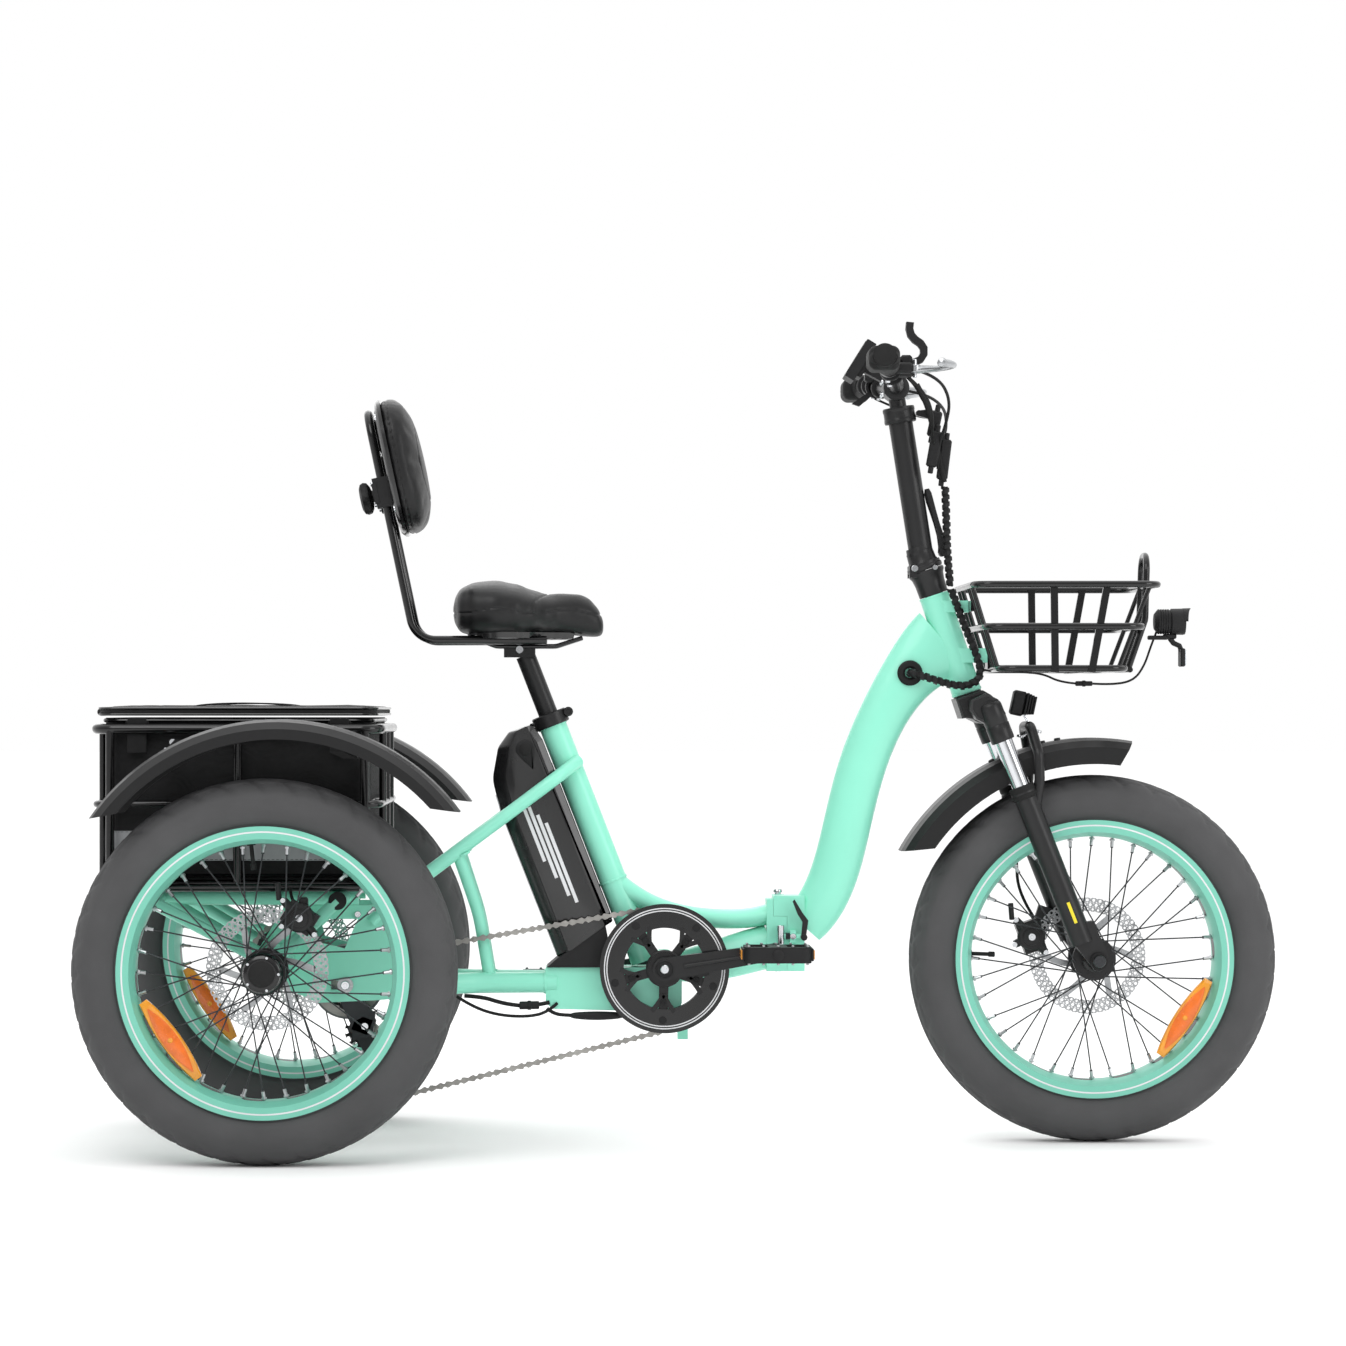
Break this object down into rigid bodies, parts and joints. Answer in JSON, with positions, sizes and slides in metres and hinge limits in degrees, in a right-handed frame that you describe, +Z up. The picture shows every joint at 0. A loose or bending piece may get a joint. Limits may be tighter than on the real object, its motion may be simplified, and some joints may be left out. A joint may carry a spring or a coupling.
{
  "type": "adult tricycle",
  "caption": "Electric adult tricycle with a folding step-through frame, fat tyres, backrest saddle, front basket and rear cargo bag.",
  "frame": {"origin": "on the ground, halfway between the front and rear axles, in the centre plane", "axes": "+X forward, +Y to the rider's left, +Z up"},
  "size_m": [1.8063, 0.824, 1.2336],
  "materials": {
    "bag_fabric": "coated woven",
    "black_leather": "soft vinyl",
    "black_plastic": "moulded, fine grain",
    "black_tube": "satin black powder coat",
    "bright_steel": "brushed",
    "chain_steel": "oiled",
    "chrome": "polished",
    "gloss_black": "gloss",
    "mint_frame": "gloss powder coat",
    "mint_rim": "satin anodised",
    "rubber": "matt",
    "tyre_rubber": "matt rubber"
  },
  "bodies": {
    "rear_frame": {"rear_frame": "mint_frame", "controller": "black_plastic", "fold_pins": "bright_steel", "axle_carrier": "mint_frame", "axles_and_bearings": "bright_steel", "battery_dock": "black_plastic", "rear_fenders": "black_plastic", "rear_basket": "black_tube", "cargo_bag": "bag_fabric", "chains": "chain_steel", "derailleur": "black_tube", "rear_calipers": "black_tube"},
    "bag_lid": {"bag_lid": "bag_fabric"},
    "battery": {"battery": "black_plastic"},
    "seat_post": {"seat_post": "black_tube", "saddle_frame": "black_tube", "saddle": "black_leather"},
    "backrest": {"backrest_cushion": "black_leather"},
    "backrest_knob": {"backrest_knob": "black_plastic"},
    "seat_clamp_lever": {"seat_clamp_lever": "black_tube"},
    "crankset": {"crank_arms": "black_tube", "chainring": "black_tube"},
    "pedal_right": {"pedal_right": "black_plastic"},
    "pedal_left": {"pedal_left": "black_plastic"},
    "hub_motor": {"hub_motor": "black_tube"},
    "differential": {"differential": "bright_steel"},
    "wheel_right": {"tyre_right": "tyre_rubber", "rim_right": "mint_rim", "hub_right": "black_tube"},
    "wheel_left": {"tyre_left": "tyre_rubber", "rim_left": "mint_rim", "hub_left": "black_tube"},
    "jockey_wheel_upper": {"jockey_wheel_upper": "black_plastic"},
    "jockey_wheel_lower": {"jockey_wheel_lower": "black_plastic"},
    "front_frame": {"front_frame": "mint_frame", "head_bearings": "bright_steel", "front_basket": "black_tube", "headlight": "gloss_black", "frame_loom": "rubber"},
    "frame_latch": {"frame_latch": "black_tube"},
    "fork": {"fork_crown": "chrome", "stem_base": "black_tube"},
    "fork_lowers": {"fork_lowers": "black_tube", "front_fender": "black_plastic", "front_caliper": "black_tube"},
    "wheel_front": {"tyre_front": "tyre_rubber", "rim_front": "mint_rim", "hub_front": "black_tube"},
    "stem": {"stem": "black_tube", "stem_loom": "rubber"},
    "stem_latch": {"stem_latch": "black_tube"},
    "height_lever": {"height_lever": "black_plastic"},
    "handlebar": {"handlebar": "black_tube", "grips": "rubber", "display": "gloss_black", "bar_cables": "rubber"},
    "brake_lever_right": {"brake_lever_right": "bright_steel"},
    "brake_lever_left": {"brake_lever_left": "bright_steel"},
    "shift_paddle": {"shift_paddle": "black_plastic"},
    "throttle": {"throttle": "black_plastic"}
  },
  "joints": [
    {"name": "frame_fold", "type": "hinge", "parent": "rear_frame", "child": "front_frame", "pos_m": [0.142, 0.036, 0.32], "axis": [0, 0, 1], "range_deg": [0, 90]},
    {"name": "frame_latch_lever", "type": "hinge", "parent": "front_frame", "child": "frame_latch", "pos_m": [0.1785, -0.036, 0.3145], "axis": [0, 1, 0], "range_deg": [0, 110]},
    {"name": "steering", "type": "hinge", "parent": "front_frame", "child": "fork", "pos_m": [0.38, 0, 0.838], "axis": [-0.3192, 0, 0.9477], "range_deg": [-40, 40]},
    {"name": "suspension", "type": "slide", "parent": "fork", "child": "fork_lowers", "axis": [-0.3665, 0, 0.9304], "range_m": [0, 0.03], "stiffness_N_per_m": 6000, "springref_m": -0.06},
    {"name": "front_wheel_spin", "type": "hinge", "parent": "fork_lowers", "child": "wheel_front", "pos_m": [0.6223, 0, 0.281], "axis": [0, 1, 0], "continuous": true},
    {"name": "stem_fold", "type": "hinge", "parent": "fork", "child": "stem", "pos_m": [0.349, 0, 0.878], "axis": [0, -1, 0], "range_deg": [0, 95]},
    {"name": "stem_latch_lever", "type": "hinge", "parent": "stem", "child": "stem_latch", "pos_m": [0.39226, 0, 0.90185], "axis": [0, 1, 0], "range_deg": [0, 60]},
    {"name": "handlebar_height", "type": "slide", "parent": "stem", "child": "handlebar", "axis": [-0.1549, 0, 0.9879], "range_m": [0, 0.1]},
    {"name": "height_lever_turn", "type": "hinge", "parent": "stem", "child": "height_lever", "pos_m": [0.3565, 0, 1.117], "axis": [0, 1, 0], "range_deg": [0, 70]},
    {"name": "brake_lever_right_pull", "type": "hinge", "parent": "handlebar", "child": "brake_lever_right", "pos_m": [0.33524, -0.19, 1.17033], "axis": [0, 0, -1], "range_deg": [0, 14], "stiffness_Nm_per_rad": 0.6, "springref_deg": -17.19},
    {"name": "brake_lever_left_pull", "type": "hinge", "parent": "handlebar", "child": "brake_lever_left", "pos_m": [0.33524, 0.19, 1.17033], "axis": [0, 0, 1], "range_deg": [0, 14], "stiffness_Nm_per_rad": 0.6, "springref_deg": -17.19},
    {"name": "shift_paddle_push", "type": "hinge", "parent": "handlebar", "child": "shift_paddle", "pos_m": [0.32891, -0.16, 1.18167], "axis": [0, 1, 0], "range_deg": [0, 20], "stiffness_Nm_per_rad": 0.5, "springref_deg": -11.46},
    {"name": "throttle_push", "type": "hinge", "parent": "handlebar", "child": "throttle", "pos_m": [0.30346, 0.15, 1.16844], "axis": [0, -1, 0], "range_deg": [0, 35], "stiffness_Nm_per_rad": 0.4, "springref_deg": -11.46},
    {"name": "seat_height", "type": "slide", "parent": "rear_frame", "child": "seat_post", "axis": [-0.3633, 0, 0.9317], "range_m": [-0.06, 0.13]},
    {"name": "seat_clamp_turn", "type": "hinge", "parent": "rear_frame", "child": "seat_clamp_lever", "pos_m": [-0.1815, 0.02, 0.65912], "axis": [0.3633, 0, -0.9317], "range_deg": [0, 90]},
    {"name": "backrest_height", "type": "slide", "parent": "seat_post", "child": "backrest", "axis": [-0.207, 0, 0.9783], "range_m": [-0.04, 0.025]},
    {"name": "backrest_knob_turn", "type": "hinge", "parent": "backrest", "child": "backrest_knob", "pos_m": [-0.4888, 0, 0.98624], "axis": [0.9783, 0, 0.207], "range_deg": [0, 180]},
    {"name": "crank_turn", "type": "hinge", "parent": "rear_frame", "child": "crankset", "pos_m": [-0.035, 0, 0.268], "axis": [0, 1, 0], "continuous": true},
    {"name": "pedal_right_spin", "type": "hinge", "parent": "crankset", "child": "pedal_right", "pos_m": [0.13291, -0.13, 0.29459], "axis": [0, 1, 0], "continuous": true},
    {"name": "pedal_left_spin", "type": "hinge", "parent": "crankset", "child": "pedal_left", "pos_m": [-0.20291, 0.13, 0.24141], "axis": [0, 1, 0], "continuous": true},
    {"name": "motor_turn", "type": "hinge", "parent": "rear_frame", "child": "hub_motor", "pos_m": [-0.5187, 0, 0.245], "axis": [0, 1, 0], "continuous": true},
    {"name": "differential_turn", "type": "hinge", "parent": "rear_frame", "child": "differential", "pos_m": [-0.6223, 0, 0.281], "axis": [0, 1, 0], "continuous": true},
    {"name": "rear_wheel_right_spin", "type": "hinge", "parent": "rear_frame", "child": "wheel_right", "pos_m": [-0.6223, -0.35, 0.281], "axis": [0, 1, 0], "continuous": true},
    {"name": "rear_wheel_left_spin", "type": "hinge", "parent": "rear_frame", "child": "wheel_left", "pos_m": [-0.6223, 0.35, 0.281], "axis": [0, 1, 0], "continuous": true},
    {"name": "jockey_upper_spin", "type": "hinge", "parent": "rear_frame", "child": "jockey_wheel_upper", "pos_m": [-0.497, -0.048, 0.172], "axis": [0, 1, 0], "continuous": true},
    {"name": "jockey_lower_spin", "type": "hinge", "parent": "rear_frame", "child": "jockey_wheel_lower", "pos_m": [-0.455, -0.048, 0.0916], "axis": [0, 1, 0], "continuous": true},
    {"name": "battery_slide", "type": "slide", "parent": "rear_frame", "child": "battery", "axis": [-0.3633, 0, 0.9317], "range_m": [0, 0.09]},
    {"name": "bag_lid_open", "type": "hinge", "parent": "rear_frame", "child": "bag_lid", "pos_m": [-0.877, 0, 0.659], "axis": [0, -1, 0], "range_deg": [0, 110]}
  ],
  "couplings": [
    {"joint": "motor_turn", "follows": "crank_turn", "ratio": 2.875},
    {"joint": "differential_turn", "follows": "crank_turn", "ratio": 1.6771},
    {"joint": "jockey_lower_spin", "follows": "crank_turn", "ratio": 4.1818},
    {"joint": "jockey_upper_spin", "follows": "crank_turn", "ratio": -4.1818}
  ]
}
